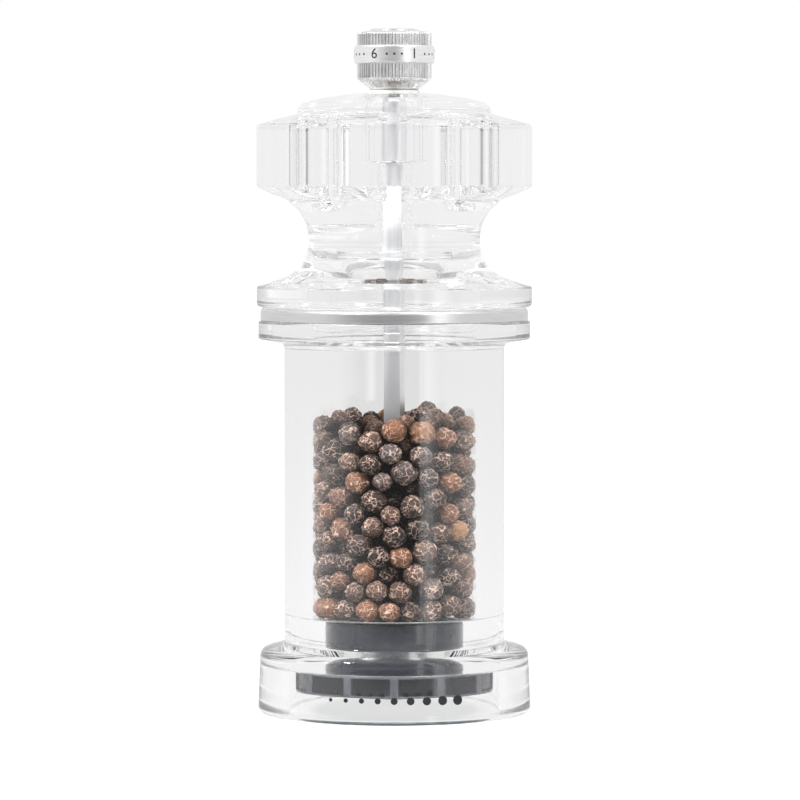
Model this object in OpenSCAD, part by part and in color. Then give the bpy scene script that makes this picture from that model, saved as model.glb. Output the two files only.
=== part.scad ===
// Clear acrylic pepper mill: a lobed head turns a square spindle, and the spindle turns the
// burr in the base. The knob on top sets the gap of the burrs. Millimetres, +Z up, with the
// origin at the centre of the face that the mill stands on.

/* [Whole mill] */
// Height of the mill to the top of the knob
mill_h = 144; // [143.6:0.1:146]
// Radius of the base and of the head's lobes
mill_r = 29; // [28.8:0.1:30]
// Wall radius of the straight tube
tube_r = 23.2; // [22:0.1:24]
// Radius of the chamber that holds the peppercorns
chamber_r = 17.4; // [17.3:0.1:18]

/* [Base and mechanism] */
// Height of the chamber's floor
floor_z = 20.3; // [20:0.1:21]
// Radius of the bore below the chamber, around the mechanism
lower_bore_r = 14.75; // [14.7:0.05:15.5]
// Radius of the recess under the base
recess_r = 22.4; // [21.4:0.1:23]
// Height of the recess under the base
recess_h = 9.8; // [9.7:0.1:10.5]
// Number of grinding grooves in the ring and in the rotor
burr_grooves = 30; // [20:1:36]
// Number of pockets around the mechanism's flange
pockets = 14; // [10:1:14]
// Height to which the peppercorns fill the chamber
fill_z = 63; // [40:1:72]

/* [Spindle] */
// Side of the square spindle
spindle_w = 3.55; // [3.3:0.05:3.6]
// Turn of the square spindle about its axis at rest
spindle_turn = -17; // [-45:1:45]
// Radius of the thread at the spindle's top
thread_r = 2; // [1.8:0.05:2]

/* [Head] */
// Underside of the head's flange
head_z = 85.6; // [85.55:0.05:85.8]
// Height of the dome at the head's centre
dome_z = 130.6; // [130.3:0.1:130.6]
// Number of lobes around the head
lobes = 5; // [4:1:6]
// Radius of the scallop between two lobes
scallop_r = 5.5; // [4:0.1:7]
// Distance of a scallop's centre from the axis
scallop_d = 28.5; // [28:0.1:31]
// Radius of the waist below the lobes
waist_r = 17.9; // [17.6:0.1:19]

/* [Knob] */
// Radius of the knob over its knurling
knob_r = 7.85; // [7.8:0.05:8.2]
// Radius of the smooth band around the knob
band_r = 8.4; // [8.3:0.05:8.8]
// Number of knurled ribs around the knob
ribs = 64; // [40:1:80]

/* [Hidden] */
$fn = 128;

clear = [0.86, 0.91, 0.93, 0.35];
silver = [0.80, 0.81, 0.82];
steel = [0.55, 0.56, 0.58];
black = [0.07, 0.07, 0.09];

seam = 0.1;           // gap between the head and the ring that it turns on
press = 0.05;         // gap all round a piece that is pressed into its seat
running = 0.06;       // gap all round a shaft or a square that slides

flange_top_z = 82.8;  // top of the body's flange
ring_top_z = head_z - seam;
ring_r = mill_r - 0.8;
ring_bore_r = chamber_r + 0.1;

housing_r = lower_bore_r - 0.25;
housing_in_r = 12.6;
housing_z = 5;        // underside of the housing's flange
housing_top_z = floor_z - 0.7;
housing_flange_r = recess_r - 1.5;
burr_z = 5.2;         // underside of both burrs
burr_h = 6;
burr_in_r = 11;       // ring's bore at its foot
burr_taper = 2.3;     // how much narrower both burrs are at their top
burr_gap = 0.4;
groove_r = 0.55;
hub_top_z = 14.2;
spring_z = 13;
spring_top_z = 16.6;
washer_top_z = 17.2;
bridge_z = 17.4;
hole_r = 2.65;        // round hole that clears the turning spindle

rod_top_z = 115.5;    // square part ends and thread begins
thread_top_z = 140;
cavity_r = 12.3;      // hollow in the head
cavity_z = 97;
spigot_z = 80.5;      // foot of the head's spigot inside the body
spigot_r = chamber_r - 0.25;
throat_r = 2.8;       // round hole in the head above the drive plate
well_r = 4.57;        // wide bore in the head around the knob's sleeve
well_z = 116;

knob_z = dome_z + 0.5;
sleeve_r = 2.65;
sleeve_z = 116.2;
lower_rib_z = 133.8;
band_z = 136.7;
band_top_z = 140.5;
rib_top_z = 143.2;
cap_r = 5.1;

function unit(v) = v / norm(v);

// The corner at b between a and c, rounded by the radius in b's third place.
function corner(a, b, c, steps) =
    let (
        p = [b.x, b.y],
        u = unit([a.x, a.y] - p),
        v = unit([c.x, c.y] - p),
        half = acos(u * v) / 2,
        middle = p + unit(u + v) * b.z / sin(half),
        start = p + u * b.z / tan(half) - middle,
        end = p + v * b.z / tan(half) - middle
    )
    [for (k = [0 : steps]) middle + b.z * unit(start * (1 - k / steps) + end * k / steps)];

// A closed outline of [radius, height, rounding] points, with its corners rounded.
function outline(points, steps = 6) =
    let (n = len(points))
    [for (i = [0 : n - 1]) each
        points[i].z > 0
            ? corner(points[(i + n - 1) % n], points[i], points[(i + 1) % n], steps)
            : [[points[i].x, points[i].y]]];

module turned(points) {
    rotate_extrude() polygon(outline(points));
}

module tube(outer_r, inner_r, z, top_z) {
    difference() {
        translate([0, 0, z]) cylinder(r = outer_r, h = top_z - z);
        translate([0, 0, z - 1]) cylinder(r = inner_r, h = top_z - z + 2);
    }
}

module square_bar(w, z, top_z) {
    rotate([0, 0, spindle_turn]) translate([-w / 2, -w / 2, z]) cube([w, w, top_z - z]);
}

module around(count, first = 0) {
    for (i = [0 : count - 1]) rotate([0, 0, first + i * 360 / count]) children();
}

// Round-bottomed grooves that follow a cone's side, cut into either burr.
module burr_flutes(foot_r, turn) {
    slope = atan(burr_taper / burr_h);
    around(burr_grooves, turn)
        translate([foot_r - burr_taper / 2, 0, burr_z + burr_h / 2])
            rotate([0, -slope, 0])
                cylinder(r = groove_r, h = 2 * burr_h, center = true, $fn = 24);
}

// ---- body, which stands still ----

module body_shell() {
    color(clear)
        turned([
            [recess_r, 0, 0.4], [mill_r - 0.1, 0, 1.3], [mill_r - 0.65, 13.5, 2],
            [tube_r, 14.9, 0.6], [tube_r, 77.9, 1.2], [mill_r - 0.3, 78.9, 0.4],
            [mill_r - 0.3, flange_top_z, 0.5], [chamber_r, flange_top_z, 0.3],
            [chamber_r, floor_z, 0.3], [lower_bore_r, floor_z, 0.3],
            [lower_bore_r, recess_h, 0], [recess_r, recess_h, 0.3]
        ]);
}

module trim_ring() {
    color(silver)
        turned([
            [ring_bore_r, flange_top_z, 0.2], [ring_r, flange_top_z, 0.2],
            [ring_r, ring_top_z, 0.9], [ring_bore_r, ring_top_z, 0.2]
        ]);
}

module mechanism_housing() {
    crush_r = 0.3;
    pocket_w = 7.8;
    pocket_d = 0.7;
    sill_h = 0.4;
    color(black) {
        difference() {
            union() {
                tube(housing_r, housing_in_r, recess_h - 1, housing_top_z);
                tube(housing_flange_r, housing_in_r, housing_z, recess_h);
            }
            // shallow pockets between the ribs of the flange's wall
            around(pockets, -90 + 180 / pockets)
                translate([housing_flange_r - pocket_d, -pocket_w / 2, housing_z + sill_h])
                    cube([2 * pocket_d, pocket_w, recess_h - housing_z - 3 * sill_h]);
        }
        around(6)
            translate([housing_r - 0.1, 0, recess_h])
                cylinder(r = crush_r, h = housing_top_z - recess_h - 1, $fn = 16);
    }
}

module stator_burr() {
    top_z = 16;
    color(steel)
        difference() {
            translate([0, 0, burr_z]) cylinder(r = housing_in_r - press, h = top_z - burr_z);
            translate([0, 0, burr_z - 0.01])
                cylinder(r1 = burr_in_r, r2 = burr_in_r - burr_taper, h = burr_h + 0.01);
            translate([0, 0, burr_z + burr_h - 0.01])
                cylinder(r1 = burr_in_r - burr_taper, r2 = housing_in_r - 0.8,
                         h = top_z - burr_z - burr_h + 0.02);
            burr_flutes(burr_in_r, 0);
        }
}

module lock_ring() {
    color([0.10, 0.30, 0.32]) tube(housing_r + 1.5, burr_in_r + 0.4, 4.3, housing_z);
}

module spider_bridge() {
    arm_w = 3.2;
    boss_r = 3.6;
    tip_r = 3;
    rim_w = 1.2;
    seat_r = housing_in_r - press;
    color([0.09, 0.10, 0.16]) {
        turned([
            [hole_r, bridge_z, 0], [boss_r, bridge_z, 0], [boss_r, housing_top_z, 0],
            [tip_r, housing_top_z + 4.2, 0], [hole_r, housing_top_z + 4.2, 0]
        ]);
        tube(seat_r, seat_r - rim_w, bridge_z, housing_top_z - 0.2);
        around(3, 30)
            translate([tip_r, -arm_w / 2, bridge_z + 0.2])
                cube([seat_r - rim_w / 2 - tip_r, arm_w, housing_top_z - bridge_z - 0.6]);
    }
}

module peppercorns() {
    color([0.22, 0.16, 0.13]) tube(chamber_r - 0.3, 4, floor_z + press, fill_z);
}

// ---- drive train, which turns with the head ----

module spring_washer() {
    color(silver)
        difference() {
            translate([0, 0, spring_top_z]) cylinder(r = 3.9, h = washer_top_z - spring_top_z);
            square_bar(spindle_w + 2 * running, spring_top_z - 1, washer_top_z + 1);
        }
}

module spindle() {
    stud_r = 1.6;
    color(steel) {
        square_bar(spindle_w, burr_z, rod_top_z);
        intersection() {
            square_bar(spindle_w, rod_top_z - 0.01, thread_top_z);
            translate([0, 0, rod_top_z - 0.01])
                cylinder(r = thread_r, h = thread_top_z - rod_top_z + 0.01);
        }
        translate([0, 0, 2.2]) cylinder(r = stud_r, h = burr_z - 2.2 + 0.01);
    }
}

module rotor_burr() {
    color([0.38, 0.38, 0.40])
        difference() {
            translate([0, 0, burr_z])
                cylinder(r1 = burr_in_r - burr_gap, r2 = burr_in_r - burr_gap - burr_taper,
                         h = burr_h);
            burr_flutes(burr_in_r - burr_gap, 180 / burr_grooves);
            square_bar(spindle_w + 2 * press, burr_z - 1, burr_z + burr_h + 1);
        }
}

module feeder_hub() {
    hub_r = 7.4;
    fin_w = 1.4;
    z = burr_z + burr_h + 0.01;
    color(black)
        difference() {
            union() {
                translate([0, 0, z]) cylinder(r1 = hub_r, r2 = 4.4, h = hub_top_z - z);
                around(4, 20)
                    translate([3.8, -fin_w / 2, z]) cube([3.6, fin_w, hub_top_z - z + 0.6]);
            }
            translate([0, 0, spring_z]) cylinder(r = 3.6, h = 5);
            square_bar(spindle_w + 2 * press, z - 1, hub_top_z + 1);
        }
}

// A coil swept along a helix, with flat-lying end turns left open.
module spring() {
    wire_r = 0.3;
    coil_r = 3;
    turns = 4.5;
    sides = 8;
    rings = 90;
    rise = spring_top_z - spring_z - 2 * wire_r - 0.1;
    function at(i, j) =
        let (a = 360 * turns * i / rings, b = 360 * j / sides, r = coil_r + wire_r * cos(b))
        [r * cos(a), r * sin(a), spring_z + wire_r + 0.05 + rise * i / rings + wire_r * sin(b)];
    points = [for (i = [0 : rings]) for (j = [0 : sides - 1]) at(i, j)];
    walls = [for (i = [0 : rings - 1]) for (j = [0 : sides - 1])
        let (k = (j + 1) % sides)
        [i * sides + j, i * sides + k, (i + 1) * sides + k, (i + 1) * sides + j]];
    first_end = [for (j = [sides - 1 : -1 : 0]) j];
    last_end = [for (j = [0 : sides - 1]) rings * sides + j];
    color(silver) polyhedron(points, concat(walls, [first_end], [last_end]));
}

module rotor_washer() {
    color(silver) tube(4.6, 1.65, 4.45, burr_z - 0.05);
}

module retaining_nut() {
    color(silver)
        difference() {
            translate([0, 0, 2.4]) cylinder(r = 3.2, h = 2, $fn = 6);
            translate([0, 0, 1]) cylinder(r = 1.65, h = 5);
        }
}

// ---- head ----

module acrylic_head() {
    color(clear)
        difference() {
            turned([
                [cavity_r, spigot_z, 0.3], [spigot_r, spigot_z, 0.4], [spigot_r, head_z, 0],
                [mill_r, head_z, 0.8], [mill_r, 89.9, 0.5], [26.1, 90.8, 3], [22.8, 91.9, 5],
                [20.5, 93.4, 4], [18.8, 95.6, 4], [waist_r, 99, 8], [18.4, 102.7, 6],
                [19.9, 105.5, 4], [22.7, 108.3, 3], [26.1, 109.5, 3], [mill_r, 110.9, 0.8],
                [mill_r, 123.9, 1], [20.35, 126.2, 0.4], [20.3, 127.3, 0.6], [19.3, 128.4, 0.8],
                [15.7, 129.4, 8], [9.4, 130.3, 10], [5.4, dome_z, 3], [well_r, dome_z, 0.2],
                [well_r, well_z, 0.3], [throat_r, well_z, 0.2], [throat_r, cavity_z, 0],
                [cavity_r, cavity_z, 0.4]
            ]);
            around(lobes, -90 + 180 / lobes)
                translate([scallop_d, 0, 100]) cylinder(r = scallop_r, h = 27);
        }
}

module drive_plate() {
    plate_h = 2.6;
    plate_r = cavity_r - press;
    color([0.90, 0.93, 0.94, 0.45])
        difference() {
            turned([
                [0, cavity_z - plate_h, 0], [plate_r, cavity_z - plate_h, 0.3],
                [plate_r, cavity_z - 0.02, 0.5], [0, cavity_z - 0.02, 0]
            ]);
            square_bar(spindle_w + 2 * running, cavity_z - plate_h - 1, cavity_z + 1);
        }
}

// ---- knob ----

module knob_shell() {
    foot_r = 4.8;
    rib_depth = 0.4;
    root_r = knob_r - rib_depth;
    color(silver)
        difference() {
            intersection() {
                turned([
                    [sleeve_r + press, knob_z, 0.1], [foot_r, knob_z, 0.3],
                    [knob_r, lower_rib_z - 0.3, 0.6], [knob_r, band_z, 0],
                    [root_r - 0.1, band_z, 0], [root_r - 0.1, band_top_z, 0],
                    [knob_r, band_top_z, 0], [knob_r, rib_top_z, 0.5],
                    [cap_r + press, mill_h - 0.25, 0.2], [cap_r + press, mill_h - 0.8, 0],
                    [sleeve_r + press, mill_h - 0.8, 0]
                ]);
                // the knurl: four outline points to each rib
                translate([0, 0, knob_z - 1])
                    linear_extrude(mill_h - knob_z + 2)
                        polygon([for (i = [0 : ribs - 1]) each
                            [for (p = [[0, root_r], [0.3, knob_r], [0.7, knob_r], [1, root_r]])
                                let (a = (i + p.x * 0.98) * 360 / ribs) p.y * [cos(a), sin(a)]]]);
            }
            // seat of the friction ring
            translate([0, 0, knob_z - 0.1]) cylinder(r = 3.95, h = 1.8);
        }
}

module knob_band() {
    color(silver)
        turned([
            [knob_r - 0.45, band_z + 0.02, 0], [band_r, band_z + 0.02, 0.35],
            [band_r, band_top_z - 0.02, 0.35], [knob_r - 0.45, band_top_z - 0.02, 0]
        ]);
}

module knob_insert() {
    bore_r = thread_r + running;
    color(steel)
        difference() {
            translate([0, 0, sleeve_z]) cylinder(r = sleeve_r, h = mill_h - 1.2 - sleeve_z);
            translate([0, 0, sleeve_z - 1]) cylinder(r = bore_r, h = mill_h - 2.2 - sleeve_z + 1);
        }
}

module knob_cap() {
    color(silver)
        turned([
            [0, mill_h - 0.78, 0], [cap_r, mill_h - 0.78, 0], [cap_r, mill_h, 0.4], [0, mill_h, 0]
        ]);
}

module knob_washer() {
    color([0.93, 0.93, 0.90]) tube(5.3, sleeve_r + running, dome_z + 0.05, knob_z - 0.02);
}

module friction_ring() {
    color([0.85, 0.85, 0.80]) tube(3.9, sleeve_r + press, knob_z + 0.05, knob_z + 1.6);
}

body_shell();
trim_ring();
mechanism_housing();
stator_burr();
lock_ring();
spider_bridge();
peppercorns();
spring_washer();
spindle();
rotor_burr();
feeder_hub();
spring();
rotor_washer();
retaining_nut();
acrylic_head();
drive_plate();
knob_shell();
knob_band();
knob_insert();
knob_cap();
knob_washer();
friction_ring();
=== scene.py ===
"""Clear acrylic pepper mill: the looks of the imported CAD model, on a white table in soft light."""

import math

import bmesh
import bpy
import numpy as np
from mathutils import Euler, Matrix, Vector, noise


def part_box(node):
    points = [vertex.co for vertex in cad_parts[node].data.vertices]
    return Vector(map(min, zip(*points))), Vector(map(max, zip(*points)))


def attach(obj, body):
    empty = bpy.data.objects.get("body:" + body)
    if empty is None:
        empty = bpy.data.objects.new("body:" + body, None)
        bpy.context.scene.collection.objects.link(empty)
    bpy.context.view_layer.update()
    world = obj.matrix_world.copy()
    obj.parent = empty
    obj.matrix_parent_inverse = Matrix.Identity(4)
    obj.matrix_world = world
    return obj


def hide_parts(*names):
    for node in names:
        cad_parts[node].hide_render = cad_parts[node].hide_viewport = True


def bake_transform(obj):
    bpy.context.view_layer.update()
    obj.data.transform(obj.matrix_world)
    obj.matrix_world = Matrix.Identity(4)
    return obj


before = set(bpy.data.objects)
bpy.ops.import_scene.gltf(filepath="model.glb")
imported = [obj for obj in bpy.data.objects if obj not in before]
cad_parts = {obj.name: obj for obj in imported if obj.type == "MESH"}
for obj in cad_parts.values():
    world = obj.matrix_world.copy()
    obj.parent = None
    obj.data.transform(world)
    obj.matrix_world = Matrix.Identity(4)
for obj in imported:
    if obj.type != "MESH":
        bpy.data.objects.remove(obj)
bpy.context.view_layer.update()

MM = 0.001
SEED = 7

# ---- sizes, read from the frame, in millimetres ----


def reach(node):
    """The largest radius of a CAD node and the heights of its foot and its top."""
    low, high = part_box(node)
    return high.x / MM, low.z / MM, high.z / MM


BODY_R, _, FLANGE_TOP = reach("body_shell")
HEAD_R, SPIGOT_Z, DOME_Z = reach("acrylic_head")
RING_R, RING_Z, RING_TOP = reach("trim_ring")
FILL_R, FLOOR_Z, FILL_TOP = reach("peppercorns")
HOUSING_FLANGE_R, _, _ = reach("mechanism_housing")
_, _, BRIDGE_TOP = reach("spider_bridge")
BAND_R, BAND_Z, BAND_TOP = reach("knob_band")
KNOB_R, KNOB_Z, KNOB_TOP = reach("knob_shell")
SPRING_R, SPRING_Z, SPRING_TOP = reach("spring")
CAP_R, CAP_Z, _ = reach("knob_cap")

# ---- sizes that the frame's boxes don't give, in millimetres ----

AIR = 0.06  # the film of air between the acrylic and a piece that touches it

# body
CHAMBER_R = FILL_R + 0.3
LOWER_BORE_R = 14.75
RECESS_R = 22.4
RECESS_H = 9.8
BASE_TOP = 13.5
BASE_TAPER = 0.55  # how much narrower the base is at its top than at its foot
TUBE_R = 23.2
TUBE_FOOT = 14.9
TUBE_TOP = 77.9
FLANGE_R = BODY_R - 0.2
FLANGE_FOOT = 78.9

# head
HEAD_Z = RING_TOP + 0.1
CAVITY_R = 12.3
CAVITY_Z = 97
WAIST_R = 17.9
INSERT_BORE_R = 4.57
INSERT_BORE_Z = 116
SPINDLE_BORE_R = 2.8
LOBES = 5
LOBE_ROOT_R = 19  # the scallops cut only outside this radius and between these two heights
LOBE_FOOT = 104
LOBE_TOP = 127
SCALLOP_R = 5.5
SCALLOP_D = 28.5  # from the mill's axis to a scallop's own axis
SCALLOP_LIP = 1.6

# knob
KNOB_FOOT_R = 4.8
KNOB_SHOULDER_Z = 133.6
KNOB_RIM_Z = 143.2
BAND_GROOVE = 0.5
KNURL_RIBS = 64
KNURL_DEPTH = 0.38
KNURL_START_R = 6.9  # the ribs grow from nothing here to their full depth over KNURL_RISE
KNURL_RISE = 0.8

# fill
CORN_R = (1.95, 2.55)
SPINDLE_CLEAR_R = 2.7
BOSS_R = 3.7

# prints
PRINT_LIFT = 0.02
SCALE_Z = 5.2
NUMBERS = 6
NUMBER_PITCH = 360 / NUMBERS
BAND_MIDDLE = (BAND_Z + BAND_TOP) / 2

# ---- mesh helpers ----


def rounded(points, steps=6):
    """A closed outline of (radius, height, rounding) points, with arcs at its rounded corners."""
    out = []
    for i, b in enumerate(points):
        here = Vector(b[:2])
        if b[2] <= 0:
            out.append(here)
            continue
        u = (Vector(points[i - 1][:2]) - here).normalized()
        v = (Vector(points[(i + 1) % len(points)][:2]) - here).normalized()
        half = u.angle(v) / 2
        middle = here + (u + v).normalized() * b[2] / math.sin(half)
        start = here + u * b[2] / math.tan(half) - middle
        end = here + v * b[2] / math.tan(half) - middle
        sweep = start.angle(end)
        for k in range(steps + 1):
            t = k / steps
            arc = start * math.sin((1 - t) * sweep) + end * math.sin(t * sweep)
            arc /= math.sin(sweep)
            out.append(middle + arc)
    return out


def divided(outline, cut_length, support=0.12):
    """The outline with its long straight stretches cut up, and held flat close to both ends."""
    out = []
    for i, a in enumerate(outline):
        b = outline[(i + 1) % len(outline)]
        length = (b - a).length
        step = cut_length(a.lerp(b, 0.5))
        out.append(a)
        if length > 4 * support:
            count = max(1, int(length / step))
            edge = support / length
            cuts = [edge] + [k / count for k in range(1, count)] + [1 - edge]
            out += [a.lerp(b, t) for t in sorted(cuts)]
    return out


def add_object(name, data):
    obj = bpy.data.objects.new(name, data)
    bpy.context.scene.collection.objects.link(obj)
    return obj


def add_mesh(name, verts, faces, smooth=True):
    """A mesh from points in metres, with double points merged and its faces turned one way."""
    mesh = bpy.data.meshes.new(name)
    mesh.from_pydata([tuple(v) for v in verts], [], faces)
    mesh.update()
    edit = bmesh.new()
    edit.from_mesh(mesh)
    bmesh.ops.remove_doubles(edit, verts=edit.verts, dist=1e-7)
    bmesh.ops.recalc_face_normals(edit, faces=edit.faces)
    edit.to_mesh(mesh)
    edit.free()
    if smooth:
        mesh.shade_smooth()
    else:
        mesh.shade_flat()
    return add_object(name, mesh)


def sharpen(obj, degrees=40):
    """Makes edges sharper than this angle crisp while the rest stays smooth."""
    edit = bmesh.new()
    edit.from_mesh(obj.data)
    limit = math.radians(degrees)
    for edge in edit.edges:
        edge.smooth = not (len(edge.link_faces) == 2 and edge.calc_face_angle() > limit)
    edit.to_mesh(obj.data)
    edit.free()


def turned(name, points, segments=256, shape=None, steps=6, cut_length=lambda p: 1.2):
    """A closed outline turned about Z; shape(radius, height, angle) may change a radius."""
    outline = divided(rounded(points, steps), cut_length)
    count = len(outline)
    verts, faces = [], []
    for i in range(segments):
        a = 2 * math.pi * i / segments
        for p in outline:
            r = shape(p.x, p.y, a) if shape else p.x
            verts.append((r * math.sin(a) * MM, -r * math.cos(a) * MM, p.y * MM))
    for i in range(segments):
        j = (i + 1) % segments
        for k in range(count):
            m = (k + 1) % count
            faces.append((i * count + k, j * count + k, j * count + m, i * count + m))
    obj = add_mesh(name, verts, faces)
    sharpen(obj)
    return obj


def dress(obj, body, slot, material, *nodes):
    """Gives a piece its body and its material, and hides the CAD nodes that it stands for. The slot
    is not used.
    """
    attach(obj, body)
    if nodes:
        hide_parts(*nodes)
    obj.data.materials.clear()
    obj.data.materials.append(material)
    return obj


# ---- materials ----

ACRYLIC_IOR = 1.49


class Shader:
    """A new material with a Principled shader, and short ways to add nodes to it."""

    def __init__(self, name):
        self.material = bpy.data.materials.new(name)
        self.material.use_nodes = True
        self.tree = self.material.node_tree
        self.main = self.tree.nodes["Principled BSDF"]
        self.out = self.tree.nodes["Material Output"]

    def set(self, **values):
        for key, value in values.items():
            self.main.inputs[key.replace("_", " ")].default_value = value

    def node(self, kind, links=(), **values):
        made = self.tree.nodes.new(kind)
        for key, value in values.items():
            if key in made.inputs and not hasattr(type(made), key):
                made.inputs[key].default_value = value
            else:
                setattr(made, key, value)
        for socket, source in dict(links).items():
            self.tree.links.new(source, made.inputs[socket])
        return made

    def link(self, source, socket):
        self.tree.links.new(source, self.main.inputs[socket])

    def math(self, operation, a, b):
        return self.node("ShaderNodeMath", {0: a, 1: b}, operation=operation).outputs[0]

    def mixed(self, blend_type, factor, under, over):
        """A colour socket with the constant colour over mixed into it by the factor socket."""
        made = self.node("ShaderNodeMix", {"Factor": factor}, data_type="RGBA",
                         blend_type=blend_type)
        self.tree.links.new(under, made.inputs["A"])
        made.inputs["B"].default_value = (*over, 1)
        return made.outputs["Result"]

    def from_axis(self):
        """The distance from the mill's axis, in metres."""
        flat = self.place((1, 1, 0))
        return self.node("ShaderNodeVectorMath", {0: flat}, operation="LENGTH").outputs["Value"]

    def height(self):
        return self.node("ShaderNodeSeparateXYZ", {0: self.place()}).outputs["Z"]

    def place(self, stretch=(1, 1, 1)):
        """Object coordinates in metres, scaled by stretch."""
        where = self.node("ShaderNodeTexCoord").outputs["Object"]
        scaled = self.node("ShaderNodeVectorMath", {0: where}, operation="MULTIPLY")
        scaled.inputs[1].default_value = stretch
        return scaled.outputs[0]

    def noise(self, scale, detail=3.0, stretch=(1, 1, 1), rough=0.5):
        made = self.node("ShaderNodeTexNoise", {"Vector": self.place(stretch)})
        made.inputs["Scale"].default_value = scale
        made.inputs["Detail"].default_value = detail
        made.inputs["Roughness"].default_value = rough
        return made.outputs["Fac"]

    def ramp(self, source, stops):
        made = self.node("ShaderNodeValToRGB", {"Fac": source})
        elements = made.color_ramp.elements
        while len(elements) < len(stops):
            elements.new(0.5)
        for element, (place, colour) in zip(elements, stops):
            element.position = place
            element.color = (*colour, 1)
        return made.outputs["Color"]

    def range(self, source, low, high, from_low=0.0, from_high=1.0):
        made = self.node("ShaderNodeMapRange", {"Value": source})
        for socket, value in (("From Min", from_low), ("From Max", from_high),
                              ("To Min", low), ("To Max", high)):
            made.inputs[socket].default_value = value
        return made.outputs["Result"]

    def bump(self, height, strength, distance):
        made = self.node("ShaderNodeBump", {"Height": height})
        made.inputs["Strength"].default_value = strength
        made.inputs["Distance"].default_value = distance
        self.link(made.outputs["Normal"], "Normal")


def acrylic(name, tint=(1.0, 1.0, 1.0), haze=0.02):
    """Clear polished acrylic with a trace of surface haze, which lets the lamps' light through."""
    s = Shader(name)
    s.set(Base_Color=(*tint, 1), IOR=ACRYLIC_IOR, Transmission_Weight=1.0)
    s.link(s.range(s.noise(180, 4), 0.0, haze, 0.45, 0.8), "Roughness")
    s.bump(s.noise(60, 2), 0.02, 0.0002)
    through = s.node("ShaderNodeBsdfTransparent")
    through.inputs["Color"].default_value = (0.96, 0.965, 0.965, 1)
    path = s.node("ShaderNodeLightPath")
    mix = s.node("ShaderNodeMixShader")
    s.tree.links.new(path.outputs["Is Shadow Ray"], mix.inputs[0])
    s.tree.links.new(s.main.outputs[0], mix.inputs[1])
    s.tree.links.new(through.outputs[0], mix.inputs[2])
    s.tree.links.new(mix.outputs[0], s.out.inputs["Surface"])
    return s.material


def metal(name, colour, low, high, grain, stretch, bump=0.05):
    """Metal whose roughness follows a stretched grain."""
    s = Shader(name)
    s.set(Metallic=1.0)
    fine = s.noise(grain, 4, stretch)
    dull = [c * 0.86 for c in colour]
    s.link(s.ramp(fine, [(0.3, dull), (0.7, colour)]), "Base Color")
    s.link(s.range(fine, low, high, 0.3, 0.7), "Roughness")
    s.bump(fine, bump, 0.00005)
    return s.material


def plastic(name, colour, low=0.3, high=0.45, grain=900, bump=0.1):
    """Moulded plastic with a fine even texture and slight patches of gloss."""
    s = Shader(name)
    s.set(Specular_IOR_Level=0.3)
    lighter = [min(1, c * 1.25 + 0.004) for c in colour]
    s.link(s.ramp(s.noise(120, 3), [(0.35, colour), (0.75, lighter)]), "Base Color")
    s.link(s.range(s.noise(300, 3), low, high, 0.3, 0.7), "Roughness")
    s.bump(s.noise(grain, 2), bump, 0.0001)
    return s.material


def pepper_skin():
    """Dry skin: each corn has its own colour and pale ridges, and painted shade darkens it deep in
    the fill.
    """
    s = Shader("peppercorn_skin")
    island = s.node("ShaderNodeNewGeometry").outputs["Random Per Island"]
    own = s.ramp(island, [
        (0.00, (0.030, 0.024, 0.023)), (0.22, (0.075, 0.052, 0.044)),
        (0.42, (0.120, 0.072, 0.056)), (0.60, (0.092, 0.084, 0.088)),
        (0.76, (0.150, 0.084, 0.060)), (0.90, (0.220, 0.098, 0.054)),
        (0.985, (0.280, 0.130, 0.068)), (1.00, (0.620, 0.360, 0.170)),
    ])
    ridge = s.node("ShaderNodeAttribute", attribute_name="ridge").outputs["Fac"]
    fine = s.noise(1500, 5, rough=0.7)
    patchy = s.noise(420, 2)

    # fine wrinkles: the edges of small cells, made crooked by noise
    bent = s.node("ShaderNodeVectorMath", {0: s.place()}, operation="ADD")
    sway = s.node("ShaderNodeTexNoise", {"Vector": s.place()})
    sway.inputs["Scale"].default_value = 500
    small = s.node("ShaderNodeVectorMath", {0: sway.outputs["Color"]}, operation="SCALE")
    small.inputs["Scale"].default_value = 0.0012
    s.tree.links.new(small.outputs[0], bent.inputs[1])
    cells = s.node("ShaderNodeTexVoronoi", {"Vector": bent.outputs[0]},
                   feature="DISTANCE_TO_EDGE")
    cells.inputs["Scale"].default_value = 640
    wrinkle = s.range(cells.outputs["Distance"], 1.0, 0.0, 0.005, 0.055)

    # pale crests on the large ridges and the fine wrinkles, and dark mottling between them
    crest = s.math("MULTIPLY", s.math("MAXIMUM", s.range(ridge, 0.0, 1.0, 0.5, 1.0), wrinkle),
                   patchy)
    tan = s.mixed("MIX", s.range(crest, 0.0, 0.85, 0.17, 0.50), own, (0.84, 0.60, 0.47))
    mottle = s.mixed("MULTIPLY", s.range(fine, 0.6, 0.0, 0.35, 0.65), tan, (0.40, 0.37, 0.37))

    # painted shade: corns deep in the fill are darkened, as light reaches only those beside the
    # chamber's wall and on top of the fill
    outer = s.range(s.from_axis(), 0.0, 1.0, (CHAMBER_R - 3.6) * MM, (CHAMBER_R - 1.0) * MM)
    upper = s.range(s.height(), 0.0, 1.0, (FILL_TOP - 3) * MM, (FILL_TOP + 1) * MM)
    shade = s.range(s.math("MAXIMUM", outer, upper), 0.96, 0.0)
    s.link(s.mixed("MULTIPLY", shade, mottle, (0.08, 0.07, 0.07)), "Base Color")

    s.link(s.range(fine, 0.45, 0.75, 0.3, 0.7), "Roughness")
    s.set(Specular_IOR_Level=0.1)
    s.bump(s.math("ADD", wrinkle, fine), 0.6, 0.0003)
    return s.material


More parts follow.
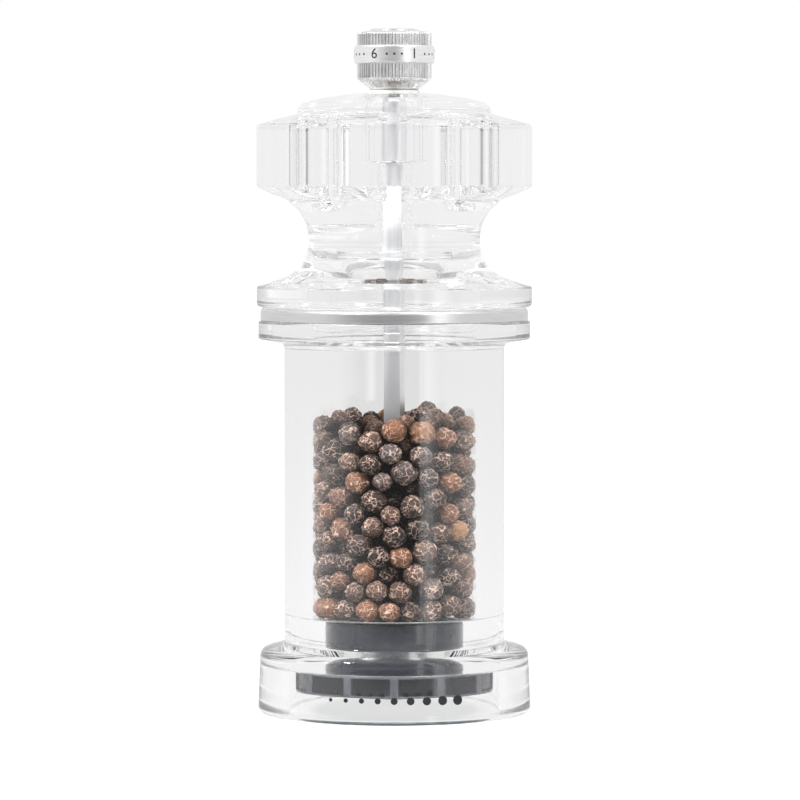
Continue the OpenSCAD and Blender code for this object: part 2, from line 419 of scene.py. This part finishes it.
def ribbed_black():
    """Black plastic with a painted highlight on its proud ribs and painted shade in the pockets
    between them.
    """
    s = Shader("housing_plastic")

    # painted light: a painted highlight on the flange's rim between its pockets, painted shade in
    # the pockets, and the plain black above the flange, all in patches
    rib = s.range(s.from_axis(), 0.0, 1.0, (HOUSING_FLANGE_R - 0.45) * MM,
                  (HOUSING_FLANGE_R - 0.25) * MM)
    upper = s.range(s.height(), 0.0, 0.35, (RECESS_H - 0.1) * MM, (RECESS_H + 0.1) * MM)
    # noise patches that vary the painted highlight on the ribs and the painted shade in the pockets
    sheen_patches = s.range(s.noise(140, 4), 0.6, 1.0, 0.3, 0.7)
    painted_light = s.math("MULTIPLY", s.math("MAXIMUM", rib, upper), sheen_patches)
    s.link(s.ramp(painted_light, [(0, (0.006, 0.007, 0.010)), (0.35, (0.018, 0.020, 0.028)),
                           (1, (0.105, 0.110, 0.125))]), "Base Color")
    s.link(s.range(s.noise(300, 3), 0.22, 0.34, 0.3, 0.7), "Roughness")
    s.set(Specular_IOR_Level=0.3)
    s.bump(s.noise(900, 2), 0.1, 0.0001)
    return s.material


ACRYLIC = acrylic("clear_acrylic")
CLEAR_PLATE = acrylic("clear_plate", (0.985, 0.99, 0.99), 0.06)
SATIN = metal("satin_silver", (0.74, 0.74, 0.74), 0.30, 0.38, 160, (1, 1, 40))
CHROME = metal("polished_chrome", (0.93, 0.93, 0.93), 0.16, 0.22, 500, (1, 1, 1), 0.02)
BAND_STEEL = metal("satin_chrome", (0.96, 0.96, 0.96), 0.32, 0.4, 400, (1, 1, 20), 0.03)
STEEL = metal("bright_steel", (0.88, 0.88, 0.90), 0.32, 0.40, 900, (1, 1, 0.04), 0.15)
BURR_STEEL = metal("burr_steel", (0.30, 0.30, 0.31), 0.35, 0.55, 700, (1, 1, 0.3), 0.2)
BLACK = plastic("black_plastic", (0.016, 0.018, 0.026), 0.22, 0.34)
HOUSING = ribbed_black()
NAVY = plastic("dark_bridge_plastic", (0.012, 0.014, 0.028), 0.25, 0.4)
TEAL = plastic("teal_plastic", (0.02, 0.13, 0.15))
NYLON = plastic("white_nylon", (0.78, 0.78, 0.74), 0.35, 0.5)
INK = plastic("black_ink", (0.015, 0.015, 0.017), 0.4, 0.5, 2000, 0.05)
PEPPER = pepper_skin()

# ---- body ----


def body_glass():
    return turned("body_glass", [
        (RECESS_R, 0, 0.4), (BODY_R, 0, 1.3), (BODY_R - BASE_TAPER, BASE_TOP, 2),
        (TUBE_R, TUBE_FOOT, 0.6), (TUBE_R, TUBE_TOP, 1.2), (FLANGE_R, FLANGE_FOOT, 0.4),
        (FLANGE_R, FLANGE_TOP - AIR, 0.5), (CHAMBER_R, FLANGE_TOP - AIR, 0.3),
        (CHAMBER_R, FLOOR_Z - 0.05, 0.3), (LOWER_BORE_R, FLOOR_Z - 0.05, 0.3),
        (LOWER_BORE_R, RECESS_H + AIR, 0), (RECESS_R, RECESS_H + AIR, 0.3),
    ])


def trim_band():
    bore = CHAMBER_R + 0.1
    return turned("trim_band", [
        (bore, RING_Z, 0.2), (RING_R, RING_Z, 0.2), (RING_R, RING_TOP, 0.9), (bore, RING_TOP, 0.2),
    ])


dress(body_glass(), "mill_body", "clear_acrylic", ACRYLIC, "body_shell")
dress(trim_band(), "mill_body", "satin_trim", SATIN, "trim_ring")

# ---- head ----


def scallop_table(steps=3600, blur_mm=0.8):
    """The radius that the scallops leave at each angle; between them it is past the wall."""
    pitch = 2 * math.pi / LOBES
    angles = np.arange(steps) * 2 * math.pi / steps
    off = angles % pitch - pitch / 2  # from the nearest scallop; a lobe faces the front
    side = SCALLOP_D * np.sin(off)
    depth = np.sqrt(np.clip(SCALLOP_R**2 - side**2, 0, None))
    beyond = np.clip(np.abs(side) - SCALLOP_R, 0, None)
    radius = SCALLOP_D * np.cos(off) - depth + 3 * beyond  # climbs steeply past a scallop's edge
    width = int(blur_mm / HEAD_R / (2 * math.pi / steps))
    kernel = np.hanning(2 * width + 3)
    kernel /= kernel.sum()
    pad = 4 * width
    return np.convolve(np.r_[radius[-pad:], radius, radius[:pad]], kernel, "same")[pad:-pad]


def soft_min(a, b, blend):
    """The smaller of two values, with the change from one to the other rounded over blend."""
    near = max(blend - abs(a - b), 0) / blend
    return min(a, b) - near * near * blend / 4


def head_glass():
    table = scallop_table()
    spigot_r = CHAMBER_R - 0.25

    def on_lobes(r, z):
        return r > LOBE_ROOT_R and LOBE_FOOT < z < LOBE_TOP

    def shape(r, z, a):
        if not on_lobes(r, z):
            return r
        here = int(round(a / (2 * math.pi) * len(table))) % len(table)
        return soft_min(r, table[here], SCALLOP_LIP)

    return turned("head_glass", [
        (CAVITY_R, SPIGOT_Z, 0.3), (spigot_r, SPIGOT_Z, 0.4), (spigot_r, HEAD_Z, 0),
        (HEAD_R, HEAD_Z, 0.8), (HEAD_R, 89.9, 0.5), (26.1, 90.8, 3), (22.8, 91.9, 5),
        (20.5, 93.4, 4), (18.8, 95.6, 4), (WAIST_R, 99, 8), (18.4, 102.7, 6), (19.9, 105.5, 4),
        (22.7, 108.3, 3), (26.1, 109.5, 3), (HEAD_R, 110.9, 0.8), (HEAD_R, 123.9, 1),
        (20.35, 126.2, 0.4), (20.3, 127.3, 0.6), (19.3, 128.4, 0.8), (15.7, 129.4, 8),
        (9.4, 130.3, 10), (5.4, DOME_Z, 3), (INSERT_BORE_R, DOME_Z, 0.2),
        (INSERT_BORE_R, INSERT_BORE_Z, 0.3), (SPINDLE_BORE_R, INSERT_BORE_Z, 0.2),
        (SPINDLE_BORE_R, CAVITY_Z, 0), (CAVITY_R, CAVITY_Z, 0.4),
    ], segments=360, shape=shape, steps=5, cut_length=lambda p: 0.6 if on_lobes(*p) else 2.5)


dress(head_glass(), "head", "clear_acrylic", ACRYLIC, "acrylic_head")

# ---- knob ----


def knob_profile():
    root = KNOB_R - BAND_GROOVE
    cap_seat = CAP_R + 0.05
    return [
        (SPINDLE_CLEAR_R, KNOB_Z, 0.1), (KNOB_FOOT_R, KNOB_Z, 0.3), (KNOB_R, KNOB_SHOULDER_Z, 0.6),
        (KNOB_R, BAND_Z, 0), (root, BAND_Z, 0), (root, BAND_TOP, 0), (KNOB_R, BAND_TOP, 0),
        (KNOB_R, KNOB_RIM_Z, 0.5), (cap_seat, KNOB_TOP, 0.2), (cap_seat, CAP_Z, 0),
        (SPINDLE_CLEAR_R, CAP_Z, 0),
    ]


def knurled_knob():
    def shape(r, z, a):
        depth = KNURL_DEPTH * min(1, max(0, (r - KNURL_START_R) / KNURL_RISE))
        wave = 0.5 - 0.5 * math.cos(a * KNURL_RIBS)
        return r - depth * wave**1.6  # the power leaves the ribs broad and the grooves narrow

    return turned("knob_knurled", knob_profile(), segments=KNURL_RIBS * 12, shape=shape,
                  cut_length=lambda p: 0.5)


dress(knurled_knob(), "knob", "knob_chrome", CHROME, "knob_shell")

# ---- peppercorns ----


def settled_corns(density=0.575, falling=220, sinking=120, resting=80, pushes=3):
    """Centres and radii of corns dropped into the chamber, pushed apart wherever they overlap.

    They start as a tall loose column that reaches 30 mm above the fill's top. They fall fast,
    then sink slowly, then rest, for so many steps each. Density is the share of the fill's
    volume that the corns themselves take up.
    """
    rng = np.random.default_rng(SEED)
    volume = math.pi * CHAMBER_R**2 * (FILL_TOP - FLOOR_Z)
    radii = []
    while sum(4 / 3 * math.pi * r**3 for r in radii) < density * volume:
        radii.append(rng.uniform(*CORN_R))
    radii = np.array(radii)
    count = len(radii)
    angle = rng.uniform(0, 2 * math.pi, count)
    ring = np.sqrt(rng.uniform(5.5**2, (CHAMBER_R - 2.8) ** 2, count))
    height = np.linspace(FLOOR_Z + 3, FILL_TOP + 30, count)
    at = np.stack([ring * np.cos(angle), ring * np.sin(angle), height], axis=1)
    reach_sum = radii[:, None] + radii[None, :]
    np.fill_diagonal(reach_sum, 0)
    for drop in [0.25] * falling + [0.02] * sinking + [0] * resting:
        at[:, 2] -= drop
        for _ in range(pushes):
            gap = at[:, None, :] - at[None, :, :]
            dist = np.sqrt((gap**2).sum(2)) + 1e-9
            push = np.clip(reach_sum - dist, 0, None) / dist
            at += 0.42 * (gap * push[:, :, None]).sum(1)  # each corn gives way by under half
            flat = np.hypot(at[:, 0], at[:, 1]) + 1e-9
            wall = np.minimum(1, (CHAMBER_R - 0.05 - radii) / flat)
            at[:, :2] *= wall[:, None]
            core = np.maximum(1, (SPINDLE_CLEAR_R + 0.1 + radii) / np.hypot(at[:, 0], at[:, 1]))
            at[:, :2] *= core[:, None]
            at[:, 2] = np.maximum(at[:, 2], FLOOR_Z + radii)
    return at, radii


def corn_shapes(count=14, cell_scale=2.6, ridge_width=0.24, ridge_height=0.12):
    """Wrinkled corns of radius 1: sunken cells between raised ridges, each with its ridge map."""
    noise.seed_set(SEED)  # without it noise_vector takes its offsets from the clock
    made = []
    for i in range(count):
        edit = bmesh.new()
        bmesh.ops.create_icosphere(edit, subdivisions=4, radius=1)
        shift = Vector((i * 7.3, i * 3.1, i * 1.7))  # each shape has its own part of the noise
        places, ridges = [], []
        for vert in edit.verts:
            d = vert.co.normalized()
            bent = d + 0.25 * noise.noise_vector(d * 2.2 + shift)
            near, _ = noise.voronoi(bent * cell_scale + shift)
            ridge = max(0.0, 1 - (near[1] - near[0]) / ridge_width)
            ridge = ridge * ridge * (3 - 2 * ridge)
            lump = noise.noise(d * 1.3 + shift) * 0.07
            places.append(d * (0.90 + ridge_height * ridge + lump))
            ridges.append(ridge)
        faces = [tuple(v.index for v in f.verts) for f in edit.faces]
        edit.free()
        made.append((np.array([tuple(p) for p in places]), np.array(faces), np.array(ridges)))
    return made


def kept_inside(points):
    """Points moved clear of the chamber's wall and floor, the spindle and the bridge's boss."""
    from_axis = np.hypot(points[:, 0], points[:, 1])
    inner = np.where(points[:, 2] < BRIDGE_TOP + 0.3, BOSS_R, SPINDLE_CLEAR_R)
    clear = np.clip(from_axis, inner, CHAMBER_R - 0.1)
    out = points.copy()
    out[:, :2] *= (clear / np.maximum(from_axis, 0.01))[:, None]
    out[:, 2] = np.maximum(out[:, 2], FLOOR_Z + 0.05)
    return out


def peppercorns(layers=4):
    """The fill as layers of separate wrinkled corns."""
    at, radii = settled_corns()
    rng = np.random.default_rng(SEED + 1)
    shapes = corn_shapes()
    order = np.argsort(at[:, 2])
    for k, part in enumerate(np.array_split(order, layers)):
        verts, faces, ridges, base = [], [], [], 0
        for i in part:
            places, tris, ridge = shapes[rng.integers(len(shapes))]
            tumble = np.array(Euler(rng.uniform(0, 2 * math.pi, 3)).to_matrix())
            squash = rng.uniform(0.94, 1.04, 3)
            verts.append(kept_inside((places * squash) @ tumble.T * radii[i] + at[i]) * MM)
            faces.append(tris + base)
            ridges.append(ridge)
            base += len(places)
        name = f"peppercorns_{k + 1}"
        mesh = bpy.data.meshes.new(name)
        mesh.from_pydata(np.concatenate(verts).tolist(), [], np.concatenate(faces).tolist())
        mesh.update()
        mesh.shade_smooth()
        ridge_map = mesh.attributes.new("ridge", "FLOAT", "POINT")
        ridge_map.data.foreach_set("value", np.concatenate(ridges).astype(np.float32))
        dress(add_object(name, mesh), "mill_body", "peppercorn", PEPPER, "peppercorns")


peppercorns()

# ---- spring ----


def coil_spring(wire_r=0.3, turns=4.5, steps=270, sides=14):
    """A coil of round wire between the feeder hub and the spring washer."""
    coil_r = SPRING_R - wire_r
    rise = SPRING_TOP - SPRING_Z - 2 * wire_r
    verts = []
    for i in range(steps + 1):
        a = 2 * math.pi * turns * i / steps
        for j in range(sides):
            b = 2 * math.pi * j / sides
            r = (coil_r + wire_r * math.cos(b)) * MM
            z = SPRING_Z + wire_r + rise * i / steps + wire_r * math.sin(b)
            verts.append((r * math.cos(a), r * math.sin(a), z * MM))
    faces = []
    for i in range(steps):
        here, ahead = i * sides, (i + 1) * sides
        for j in range(sides):
            m = (j + 1) % sides
            faces.append((here + j, ahead + j, ahead + m, here + m))
    faces.append(list(range(sides)))
    faces.append(list(range(steps * sides, (steps + 1) * sides)))
    obj = add_mesh("coil_spring", verts, faces)
    sharpen(obj)
    return obj


spring = coil_spring()
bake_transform(spring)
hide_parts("spring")
spring.data.materials.append(STEEL)

# ---- prints ----


def wrapped(name, shapes, height, radius):
    """Flat (x, y) outlines laid round a cone's front wall; radius(z) is the cone's."""
    verts, faces = [], []
    for outline in shapes:
        base = len(verts)
        for lift in (PRINT_LIFT, -PRINT_LIFT):
            for x, y in outline:
                r = radius(height + y) + lift
                a = x / radius(height)
                verts.append((r * math.sin(a) * MM, -r * math.cos(a) * MM, (height + y) * MM))
        n = len(outline)
        faces.append([base + i for i in range(n)])
        faces.append([base + n + i for i in reversed(range(n))])
        faces += [(base + i, base + n + i, base + n + (i + 1) % n, base + (i + 1) % n)
                  for i in range(n)]
    return add_mesh(name, verts, faces, smooth=False)


def dot_outline(x, size, sides=28):
    angles = [2 * math.pi * k / sides for k in range(sides)]
    return [(x + size * math.cos(a), size * math.sin(a)) for a in angles]


def grind_scale(count=9, half_width=13.6, smallest=0.38, growth=0.085):
    """A row of dots on the base, growing from fine to coarse."""
    dots = []
    for k in range(count):
        x = -half_width + 2 * half_width * k / (count - 1)
        dots.append(dot_outline(x, smallest + growth * k))
    return wrapped("grind_scale", dots, SCALE_Z, lambda z: BODY_R - BASE_TAPER * z / BASE_TOP)


def band_dots(size=0.24, gap=0.18):
    """Three small dots between each two numbers; gap is their spacing, as a share of a pitch."""
    dots = []
    for k in range(NUMBERS):
        for part in (-1, 0, 1):
            a = math.radians(NUMBER_PITCH * (k + 0.5) + NUMBER_PITCH * (0.5 + part * gap))
            dots.append(dot_outline(a * BAND_R, size, sides=16))
    return wrapped("band_dots", dots, BAND_MIDDLE, lambda z: BAND_R)


def band_number(k, size=3.0):
    """One of the numbers 1 to 6 as a thin plate, bent round the knob's band."""
    name = f"number_{k + 1}"
    text = bpy.data.curves.new(name, "FONT")
    text.body = str(k + 1)
    text.size = size
    text.align_x = "CENTER"
    text.align_y = "CENTER"
    text.extrude = PRINT_LIFT
    draft = add_object(name, text)
    bpy.context.view_layer.update()
    depsgraph = bpy.context.evaluated_depsgraph_get()
    mesh = bpy.data.meshes.new_from_object(draft.evaluated_get(depsgraph))
    bpy.data.objects.remove(draft)
    facing = math.radians(NUMBER_PITCH * (k + 0.5))
    for vert in mesh.vertices:
        a = facing + vert.co.x / BAND_R
        r = BAND_R + PRINT_LIFT / 2 + vert.co.z
        vert.co = (r * math.sin(a) * MM, -r * math.cos(a) * MM, (BAND_MIDDLE + vert.co.y) * MM)
    return add_object(name, mesh)


dress(grind_scale(), "mill_body", "black_plastic", INK)
dress(band_dots(), "knob", "black_plastic", INK)
for k in range(NUMBERS):
    dress(band_number(k), "knob", "black_plastic", INK)

# ---- CAD nodes that keep their shape ----

FINISHES = {
    "mechanism_housing": HOUSING, "stator_burr": BURR_STEEL, "lock_ring": TEAL,
    "spider_bridge": NAVY, "spring_washer": STEEL, "spindle": STEEL, "rotor_burr": BURR_STEEL,
    "feeder_hub": BLACK, "rotor_washer": STEEL, "retaining_nut": STEEL,
    "drive_plate": CLEAR_PLATE, "knob_band": BAND_STEEL, "knob_insert": STEEL, "knob_cap": CHROME,
    "knob_washer": NYLON, "friction_ring": NYLON,
}
for node_name, finish in FINISHES.items():
    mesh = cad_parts[node_name].data
    mesh.materials.clear()
    mesh.materials.append(finish)

# ---- table, light and camera, in metres ----

MILL_MIDDLE = Vector((0, 0, 0.07))
LIGHT_BOUNCES = 20  # with fewer, reflections inside the thick acrylic end in black streaks


def grey(level):
    return (level, level, level)


def table_top(radius=20.0, sides=96, drop=0.02):
    """A wide white surface that glows, set drop millimetres below the mill's foot.

    It is darker in a wedge in front of the mill, which the camera sees only through the acrylic
    or mirrored in it. That keeps the tube's front wall from veiling the peppercorns.
    """
    angles = [2 * math.pi * i / sides for i in range(sides)]
    rim = [(radius * math.cos(a), radius * math.sin(a), -drop * MM) for a in angles]
    faces = [(0, i + 1, (i + 1) % sides + 1) for i in range(sides)]
    obj = add_mesh("table_top", [(0, 0, -drop * MM)] + rim, faces, smooth=False)
    s = Shader("white_table")
    apart = s.node("ShaderNodeSeparateXYZ", {0: s.place()})
    across = s.node("ShaderNodeMath", {0: apart.outputs["X"]}, operation="ABSOLUTE")
    ahead = s.node("ShaderNodeMath", {0: across.outputs[0], 2: apart.outputs["Y"]},
                   operation="MULTIPLY_ADD")
    ahead.inputs[1].default_value = 0.6  # how steeply the wedge's two sides close in
    wedge = s.range(ahead.outputs[0], 0.0, 1.0, -0.34, -0.05)  # dark at 34 cm, gone at 5 cm
    seen = s.node("ShaderNodeLightPath").outputs["Is Camera Ray"]
    light = s.math("MAXIMUM", wedge, seen)
    s.link(s.ramp(light, [(0, grey(0.04)), (1, grey(0.14))]), "Base Color")
    s.link(s.ramp(light, [(0, grey(0.12)), (1, grey(1))]), "Emission Color")
    s.link(s.range(seen, 0.68, 0.98), "Emission Strength")
    s.set(Roughness=0.8, Specular_IOR_Level=0.05)
    obj.data.materials.append(s.material)


def sky():
    """A white room, brightest behind the mill and darker on the camera's side of it.

    The camera itself sees plain white.
    """
    world = bpy.data.worlds.new("white_room")
    bpy.context.scene.world = world
    world.use_nodes = True
    tree = world.node_tree
    room = tree.nodes["Background"]
    split = tree.nodes.new("ShaderNodeSeparateXYZ")
    where = tree.nodes.new("ShaderNodeTexCoord")
    ramp = tree.nodes.new("ShaderNodeValToRGB")
    place = tree.nodes.new("ShaderNodeMapRange")
    place.inputs["From Min"].default_value = -1
    place.inputs["From Max"].default_value = 1
    tree.links.new(where.outputs["Generated"], split.inputs[0])
    tree.links.new(split.outputs["Y"], place.inputs["Value"])
    tree.links.new(place.outputs["Result"], ramp.inputs["Fac"])
    stops = [(0.0, 0.44), (0.08, 0.50), (0.24, 0.76), (0.5, 0.87), (1.0, 0.885)]
    elements = ramp.color_ramp.elements
    while len(elements) < len(stops):
        elements.new(0.5)
    for element, (spot, level) in zip(elements, stops):
        element.position = spot
        element.color = (level, level, level * 1.005, 1)
    tree.links.new(ramp.outputs["Color"], room.inputs["Color"])
    backdrop = tree.nodes.new("ShaderNodeBackground")
    path = tree.nodes.new("ShaderNodeLightPath")
    mix = tree.nodes.new("ShaderNodeMixShader")
    tree.links.new(path.outputs["Is Camera Ray"], mix.inputs[0])
    tree.links.new(room.outputs[0], mix.inputs[1])
    tree.links.new(backdrop.outputs[0], mix.inputs[2])
    tree.links.new(mix.outputs[0], tree.nodes["World Output"].inputs["Surface"])
    backdrop.inputs["Color"].default_value = (1, 1, 1, 1)


def softbox(name, azimuth, height, width, tall, distance, watts):
    """A soft rectangular lamp that looks at the mill; azimuth 0 is the camera's side."""
    light = bpy.data.lights.new(name, "AREA")
    light.shape = "RECTANGLE"
    light.size = width
    light.size_y = tall
    light.energy = watts
    obj = add_object(name, light)
    a = math.radians(azimuth)
    obj.location = (distance * math.sin(a), -distance * math.cos(a), height)
    aim = MILL_MIDDLE - obj.location
    obj.rotation_euler = aim.to_track_quat("-Z", "Y").to_euler()
    obj.visible_camera = False


def card(name, azimuth, width, tall, distance, glow):
    """A soft-edged white card beside the mill that shows as a pale band in the acrylic."""
    a = math.radians(azimuth)
    side = Vector((math.cos(a), math.sin(a), 0)) * width / 2
    foot = Vector((distance * math.sin(a), -distance * math.cos(a), 0.001))
    up = Vector((0, 0, tall))
    obj = add_mesh(name, [foot - side, foot + side, foot + side + up, foot - side + up],
                   [(0, 1, 2, 3)], smooth=False)
    s = Shader(name)
    beside = s.node("ShaderNodeVectorMath", {0: s.place()}, operation="DOT_PRODUCT")
    beside.inputs[1].default_value = (math.cos(a), math.sin(a), 0)
    fade = s.ramp(s.range(beside.outputs["Value"], 0, 1, -width / 2, width / 2),
                  [(0, grey(0)), (0.22, grey(1)), (0.45, grey(1)), (1, grey(0))])
    s.link(fade, "Emission Color")
    s.set(Emission_Strength=glow, Base_Color=(0, 0, 0, 1), Specular_IOR_Level=0)
    clear = s.node("ShaderNodeBsdfTransparent")
    mix = s.node("ShaderNodeMixShader", {0: fade, 1: clear.outputs[0], 2: s.main.outputs[0]})
    s.tree.links.new(mix.outputs[0], s.out.inputs["Surface"])
    obj.data.materials.append(s.material)
    obj.visible_camera = False
    obj.visible_shadow = False


def camera(place=(0.0012, -1.0, 0.1122), down=2.65, lens=213.5):
    """Looks along +Y through a long lens, from three quarters of the mill's height."""
    data = bpy.data.cameras.new("camera")
    data.sensor_width = 36
    data.lens = lens
    data.clip_end = 60
    obj = add_object("camera", data)
    obj.location = place
    obj.rotation_euler = (math.radians(90 - down), 0, 0)
    bpy.context.scene.camera = obj


table_top()
sky()
card("card_right", azimuth=38, width=0.06, tall=0.30, distance=0.15, glow=2.4)
softbox("key_left", azimuth=-50, height=0.85, width=0.14, tall=0.14, distance=0.8, watts=10.5)
softbox("key_right", azimuth=40, height=0.90, width=0.14, tall=0.14, distance=0.8, watts=7.5)
camera()

scene = bpy.context.scene
scene.view_settings.view_transform = "Standard"
scene.cycles.max_bounces = LIGHT_BOUNCES
scene.cycles.transmission_bounces = LIGHT_BOUNCES
scene.cycles.glossy_bounces = LIGHT_BOUNCES
scene.cycles.transparent_max_bounces = 16
scene.cycles.use_denoising = True
